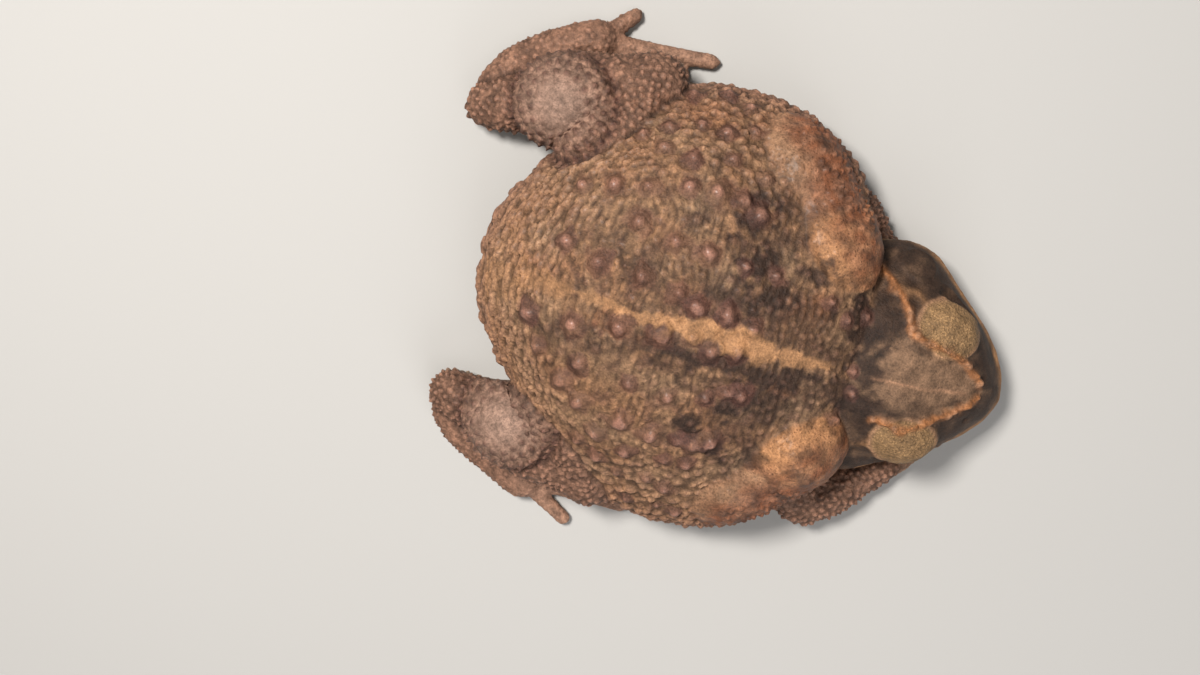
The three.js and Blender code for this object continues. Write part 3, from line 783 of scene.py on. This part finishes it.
def marked(marks, seed):
    """The strongest of several soft blots, with ragged edges."""
    total = np.zeros(count)
    ragged = 0.34 * waves(6, seed) + 0.30 * waves(2.6, seed + 1)
    for mark_x, mark_y, length, width, turn, strong in marks:
        c, s = math.cos(math.radians(turn)), math.sin(math.radians(turn))
        u = ((x - mark_x) * c + (y - mark_y) * s) / length
        v = ((y - mark_y) * c - (x - mark_x) * s) / width
        total = np.maximum(total, strong * smoothstep(1.25, 0.65, np.hypot(u, v) + ragged))
    return total * smoothstep(-0.1, 0.4, facing_up)


dark = np.clip(DARKEN * marked(DARK_MARKS, 61), 0, 1) * (1 - stripe)
warm = marked(WARM_MARKS, 63)
blotch = 0.5 + 0.5 * waves(13, 65)
gland_soft = spread_out(gland, 14)
gland_tone = gland_along + 0.2 * waves(10, 66)
crown_mottle = 0.5 * smoothstep(-4, -16, y) * smoothstep(-0.6, 0.8, waves(7, 76))
crown_mottle += 0.35 * smoothstep(0.1, 0.9, waves(4, 77))
gland_rust = 0.75 * gland * np.maximum(gland_out, 0.2) * smoothstep(-0.7, 0.7, waves(4, 70))
lip_share = np.maximum(lip, lip_edge * (0.75 + 0.4 * waves(5, 75)))
coats = [  # from the lowest to the uppermost
    (DUST, 0.8 * blotch * (1 - 0.4 * flank)),
    (WART_PURPLE, 0.45 * body * (1 - flank) * smoothstep(0.1, 0.9, waves(5, 71))),
    (PINK_BROWN, flank * smoothstep(55, 25, z)),
    (PINK_BROWN, leg + arm),
    (CALF_GREY, 0.8 * calf_dome),
    # the calves' ring warts are dark purple, and the moat round each dome gets painted shade
    (WART_PURPLE, 0.85 * ring_wart * smoothstep(3, 12, calf_gap) + 0.5 * calf_moat),
    (TOE_PALE, 0.8 * foot * smoothstep(-105, -70, x) + 0.5 * hand),
    (GLAND_TAN, smoothstep(0.3, 0.9, gland_soft)),
    (GLAND_BROWN, gland * smoothstep(0.1, 0.6, gland_tone) * 0.85),
    (GLAND_TAN, 0.8 * bulge * (1 - 0.5 * gland_out)),
    (DUST, gland * (1 - gland_out) * smoothstep(0.5, 0.9, gland_tone) * 0.6),
    (GLAND_BROWN, gland * gland_out * 0.7),
    (RUST, gland_rust),
    (CHARCOAL, 0.6 * gland * gland_out * smoothstep(0.0, 0.8, waves(5, 72))),
    (RUST, 0.55 * warm * (1 - gland)),
    (HEAD_BROWN, head),
    (CHARCOAL, crown * crown_mottle),
    (CHARCOAL, 0.93 * head * (1 - crown) * (1 - lid) * smoothstep(16, 22, z)),
    (HEAD_BROWN, 0.3 * head * (1 - crown) * smoothstep(0.1, 1.0, waves(5, 78))),
    (TAN, 0.7 * cheek_ridge * (0.6 + 0.4 * waves(4, 69))),
    (OLIVE, lid),
    (KNOB_PALE, 0.5 * lid_rim),
    # painted shade in the dent inside each crest
    (CHARCOAL, 0.6 * crown_dent * crown * smoothstep(-0.3, 0.5, waves(4, 73))),
    (CREST_ORANGE, np.clip(1.2 * crest, 0, 0.9)),
    (KNOB_PALE, 0.8 * knob_tip * smoothstep(-0.5, 0.6, waves(4, 74))),
    (CHARCOAL, 0.95 * dark * (1 - crest)),
    (WART_PURPLE, 0.9 * dusk * (1 - 0.6 * stripe)),
    (TAN, 0.9 * stripe),
    (LIP_TAN, np.clip(1.2 * lip_share, 0, 0.95)),
    # painted shade in the slit of the mouth and in the nostrils
    (CHARCOAL, 1.3 * mouth + 0.8 * nostril),
    (BELLY, 0.85 * under * (1 - gland)),
    (KNOB_PALE, 0.5 * crease),
    # painted shade in the folds round the glands and between the calves and the flanks
    (CHARCOAL, 0.35 * gland_fold + 0.7 * leg_fold),
]
colour = np.tile(EARTH, (count, 1))
for tint, share in coats:
    colour += (tint - colour) * np.clip(share, 0, 1)[:, None]
colour *= (1 + 0.14 * waves(5, 67) + 0.12 * waves(2.2, 68))[:, None]
print(len(coats), "coats of colour")
print("mean colour", colour.mean(axis=0).round(3))

# %% Keep the masks on the net
def keep(name, values):
    kind = "FLOAT_COLOR" if values.ndim == 2 else "FLOAT"
    layer = skin.data.attributes.new(name, kind, "POINT")
    if values.ndim == 2:
        values = np.concatenate([np.clip(values, 0, 1), np.ones((count, 1))], axis=1)
        layer.data.foreach_set("color", values.astype(np.float32).ravel())
    else:
        layer.data.foreach_set("value", np.clip(values, 0, 1).astype(np.float32))


# pale pink tips of the great and small warts: partly their colour, partly a painted highlight
tip_highlight = np.clip(tip + 0.35 * small_tip_highlight * (1 - calm), 0, 1) * (1 - 0.5 * stripe)
keep("paint", colour)
keep("tip", tip_highlight)
# painted shade for the grooves between small warts and the troughs of the fine ripples
keep("groove", 0.7 * groove + 0.5 * smoothstep(0.1, 0.9, -crossing) * (1 - stripe))
keep("gland", gland)
keep("smooth", 0.8 * head + gland + 0.7 * stripe + 0.5 * calf_top + 0.5 * foot + 0.45 * body * (1 - flank))
keep("lid", lid)
print("masks:", [a.name for a in skin.data.attributes if a.data_type.startswith("FLOAT")])

# %% [markdown]
# The net is finer than its flat parts need, so faces are merged until the piece is light to handle.
# Drawing a new net by hand would follow the forms better, but merging lets the masks ride along.

# %% Fewer faces
SKIN_TRIANGLES = 194000
applied(skin, "TRIANGULATE")
applied(skin, "DECIMATE", ratio=min(1.0, SKIN_TRIANGLES / len(skin.data.polygons)))
bpy.ops.object.shade_smooth()
place_back(skin.data, held_to_box(places(skin.data)))
print("skin:", len(skin.data.polygons), "triangles with", [a.name for a in skin.data.attributes])

# %% [markdown]
# Shader maths reads best as sums. This small class wraps a node's socket, so that 1 - mask makes the
# node it needs. Colours and vectors keep to mix nodes, because a maths node would turn a colour grey.

# %% Wires and finishes
class Wire:
    """A number that comes out of a node."""

    def __init__(self, finish, socket):
        self.finish = finish
        self.socket = socket

    def _with(self, operation, *others):
        values = dict(enumerate([self, *others]))
        return self.finish.node("ShaderNodeMath", {"operation": operation}, values)

    def __add__(self, other):
        return self._with("ADD", other)

    __radd__ = __add__

    def __sub__(self, other):
        return self._with("SUBTRACT", other)

    def __rsub__(self, other):
        return (self * -1) + other

    def __mul__(self, other):
        return self._with("MULTIPLY", other)

    def __truediv__(self, other):
        return self._with("DIVIDE", other)

    def __pow__(self, other):
        return self._with("POWER", other)

    def held(self):
        """The same number, kept from 0 to 1."""
        return self.finish.node("ShaderNodeClamp", {}, {"Value": self})

    def step(self, low, high):
        """0 at low, 1 at high and a soft step between."""
        settings = {"interpolation_type": "SMOOTHSTEP"}
        values = {"Value": self, "From Min": low, "From Max": high}
        return self.finish.node("ShaderNodeMapRange", settings, values)


class Finish:
    """A material, with one method that adds any node."""

    def __init__(self, name):
        self.material = bpy.data.materials.new(name)
        self.material.use_nodes = True
        self.tree = self.material.node_tree
        self.shader = self.tree.nodes["Principled BSDF"]

    def node(self, kind, settings, values, output=0):
        made = self.tree.nodes.new(kind)
        for key, value in settings.items():
            setattr(made, key, value)
        self.fill(made, values)
        return Wire(self, made.outputs[output])

    def fill(self, made, values):
        for key, value in values.items():
            socket = made.inputs[key]
            if isinstance(value, Wire):
                self.tree.links.new(value.socket, socket)
            elif isinstance(value, (tuple, list)) and len(value) == 3 and socket.type == "RGBA":
                socket.default_value = (*value, 1)
            else:
                socket.default_value = value

    def attribute(self, name, output="Fac"):
        return self.node("ShaderNodeAttribute", {"attribute_name": name}, {}, output)

    def mix(self, base, colour, share, blend="MIX"):
        settings = {"data_type": "RGBA", "blend_type": blend}
        return self.node("ShaderNodeMix", settings, {0: share, 6: base, 7: colour}, 2)

    def noise(self, scale, detail, rough, vector=None):
        values = {"Vector": vector or self.place, "Scale": scale, "Detail": detail, "Roughness": rough}
        return self.node("ShaderNodeTexNoise", {}, values)

    def cells(self, scale, vector=None):
        """The distance from the middle of the nearest of many scattered cells."""
        return self.node("ShaderNodeTexVoronoi", {}, {"Vector": vector or self.place, "Scale": scale})

    @property
    def place(self):
        if not hasattr(self, "_place"):
            self._place = self.node("ShaderNodeTexCoord", {}, {}, "Object")
        return self._place


print("wires and finishes are ready")

# %% [markdown]
# The skin's finish: dry and matt in the grooves, a little greasy on the tips of the warts, whose pale pink
# is partly a painted highlight.
# Painted shade darkens the grooves, the gaps between the fine pebbles and round the lid's granules, and the
# pores.
# Fine cells and noise give the grain that shows between the warts, both as colour and as bump.
# The bump adds only this grain, because every fold that can be seen on the outline is real relief.

# %% The skin's finish
GRAINS, FLECKS, MOTTLES, PEBBLES, PORES, GRANULES = 900, 2200, 230, 430, 560, 800  # to the metre
GROOVE_SHADE = (0.022, 0.011, 0.008)
PEBBLE_GAP_SHADE = (0.035, 0.018, 0.012)
TIP_PINK_HIGHLIGHT = (0.37, 0.175, 0.120)
PORE_SHADE = (0.05, 0.020, 0.010)
LID_GAP_SHADE = (0.05, 0.030, 0.014)
DUST_FLECK = (0.38, 0.25, 0.15)
DARK_FLECK = (0.03, 0.016, 0.010)
GRAIN_STRENGTH = 0.8
GRAIN_DEPTH = 0.0011
hide = Finish("toad_skin")
tip_highlights = hide.attribute("tip")
groove_shades = hide.attribute("groove")
smooth = hide.attribute("smooth")
glands = hide.attribute("gland")
lids = hide.attribute("lid")
mottle = hide.noise(MOTTLES, 4, 0.65)
grain = hide.noise(GRAINS, 4, 0.6)
fleck = hide.noise(FLECKS, 2, 0.5)
pebble = hide.cells(PEBBLES)
pits = hide.cells(PORES).step(0.42, 0.16) * glands * grain.step(0.35, 0.6)
gaps = hide.cells(GRANULES).step(0.34, 0.62) * lids
rough_skin = 1 - smooth
between = pebble.step(0.36, 0.66) * rough_skin
tone = 0.50 + grain.step(0.28, 0.72) * 0.55 + mottle.step(0.30, 0.70) * 0.45
paint = hide.attribute("paint", "Color")
# painted shade in the grooves between the warts
shade = hide.mix(paint, GROOVE_SHADE, (groove_shades * (0.55 + grain * 0.5)).held())
# painted shade between the fine pebbles, where the bump sinks
shade = hide.mix(shade, PEBBLE_GAP_SHADE, (between * 0.38).held())
# pale pink tips, partly a painted highlight
shade = hide.mix(shade, TIP_PINK_HIGHLIGHT, (tip_highlights * (0.5 + fleck * 0.8)).held() * 0.8)
# painted shade in the glands' pores, which are also sunk in the bump
shade = hide.mix(shade, PORE_SHADE, (pits * 0.42).held())
# painted shade between the lid's granules, where the bump sinks
shade = hide.mix(shade, LID_GAP_SHADE, (gaps * 0.32).held())
shade = hide.mix(shade, DUST_FLECK, (fleck.step(0.58, 0.74) * rough_skin * 0.26).held())
shade = hide.mix(shade, DARK_FLECK, (fleck.step(0.44, 0.30) * 0.45).held())
grey = hide.node("ShaderNodeCombineColor", {}, {0: tone, 1: tone, 2: tone})
toned = hide.mix(shade, grey, 1.0, "MULTIPLY")
height = grain * 0.6 + fleck * 0.2 - between * 0.3 - pits * 0.4 - gaps * 0.35
bump_values = {"Strength": GRAIN_STRENGTH, "Distance": GRAIN_DEPTH, "Height": height}
bump = hide.node("ShaderNodeBump", {}, bump_values)
gloss = 0.62 + groove_shades * 0.1 + (grain - 0.5) * 0.3
hide.fill(hide.shader, {
    "Base Color": toned,
    "Roughness": gloss.held(),
    "Normal": bump,
    "Coat Weight": (tip_highlights * 0.5 + glands * 0.12).held(),
})
hide.shader.inputs["Specular IOR Level"].default_value = 0.22
hide.shader.inputs["Coat Roughness"].default_value = 0.32
skin.data.materials.clear()
skin.data.materials.append(hide.material)
print("skin finish has", len(hide.tree.nodes), "nodes")

# %% [markdown]
# The eyes are deep balls, of which the lids show only a slit. Each bulges in front, has a flat-oval
# pupil and is wet all over. A ball made from a primitive has even faces, and its own attribute tells
# every point's place in the eye's own axes, so one finish serves both eyes, whichever way they look.

# %% Eyes
EYE_RADIUS = 10.4
CORNEA = 0.7  # how far the front bulges
GAZE = (0.30, 0.93, 0.16)  # ahead, outwards and up


def eyeball(name):
    low_corner, high_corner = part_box(name)
    middle = (low_corner + high_corner) / 2
    s = 1 if name.endswith("left") else -1
    gaze = Vector((GAZE[0], GAZE[1] * s, GAZE[2])).normalized()
    bpy.ops.object.select_all(action="DESELECT")
    bpy.ops.mesh.primitive_uv_sphere_add(
        segments=64, ring_count=40, radius=EYE_RADIUS * MM, location=middle
    )
    ball = bpy.context.object
    ball.name = "eyeball_" + ("left" if s > 0 else "right")
    bpy.ops.object.transform_apply(location=True, rotation=True, scale=True)
    level = Vector((0, 0, 1)).cross(gaze).normalized()
    rise_way = gaze.cross(level)
    looks = []
    for v in ball.data.vertices:
        from_middle = (v.co - middle) / (EYE_RADIUS * MM)
        u, w, d = from_middle.dot(level), from_middle.dot(rise_way), from_middle.dot(gaze)
        looks += [u, w, d]
        bulge = max(0.0, d - 0.62) / 0.38
        v.co += gaze * CORNEA * MM * bulge * bulge
    layer = ball.data.attributes.new("look", "FLOAT_VECTOR", "POINT")
    layer.data.foreach_set("vector", looks)
    bpy.ops.object.shade_smooth()
    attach(ball, "root")
    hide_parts(name)
    return ball


eyeballs = [eyeball("eye_left"), eyeball("eye_right")]
print("eyes:", [len(e.data.polygons) for e in eyeballs], "faces")

# %% The eyes' finish
IRIS_BROWN = (0.055, 0.028, 0.012)
IRIS_GOLD = (0.50, 0.31, 0.08)
RIM_GOLD = (0.62, 0.42, 0.14)
PUPIL_BLACK = (0.006, 0.005, 0.004)
BALL_BROWN = (0.02, 0.012, 0.008)
wet = Finish("wet_eye")
look = wet.attribute("look", "Vector")
eye_u = wet.node("ShaderNodeSeparateXYZ", {}, {0: look}, 0)
eye_w = wet.node("ShaderNodeSeparateXYZ", {}, {0: look}, 1)
radius2 = eye_u * eye_u + eye_w * eye_w
pupil2 = (eye_u / 0.40) ** 2 + (eye_w / 0.22) ** 2
gold = wet.noise(9, 5, 0.7, look)
veins = wet.cells(11, look)
flakes = (gold.step(0.44, 0.62) * veins.step(0.05, 0.30)).held()
iris = wet.mix(IRIS_BROWN, IRIS_GOLD, flakes)
iris = wet.mix(iris, RIM_GOLD, pupil2.step(1.75, 1.2) * 0.8)
iris = wet.mix(iris, PUPIL_BLACK, pupil2.step(1.12, 0.98))
iris = wet.mix(iris, BALL_BROWN, radius2.step(0.46, 0.60))
wet.fill(wet.shader, {"Base Color": iris})
wet.shader.inputs["Roughness"].default_value = 0.12
wet.shader.inputs["Coat Weight"].default_value = 1.0
wet.shader.inputs["Coat Roughness"].default_value = 0.03
for ball in eyeballs:
    ball.data.materials.append(wet.material)
print("eye finish has", len(wet.tree.nodes), "nodes")

# %% [markdown]
# The floor is plain and pale, so that nothing takes the eye from the animal and its shadow shows.
# A backdrop with a soft bend would also do, but from this high up only the floor is seen.

# %% The floor's finish
FLOOR_COLOUR = (0.43, 0.418, 0.40)
ground = Finish("pale_floor")
ground.shader.inputs["Base Color"].default_value = (*FLOOR_COLOUR, 1)
ground.shader.inputs["Roughness"].default_value = 0.85
floor.data.materials.append(ground.material)
print("floor colour:", FLOOR_COLOUR)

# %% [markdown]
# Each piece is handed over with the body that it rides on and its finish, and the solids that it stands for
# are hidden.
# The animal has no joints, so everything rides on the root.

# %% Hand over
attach(skin, "root")
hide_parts(*FLESH)
bpy.ops.object.select_all(action="DESELECT")
print("the skin stands for", len(FLESH), "solids, and each eyeball for one")
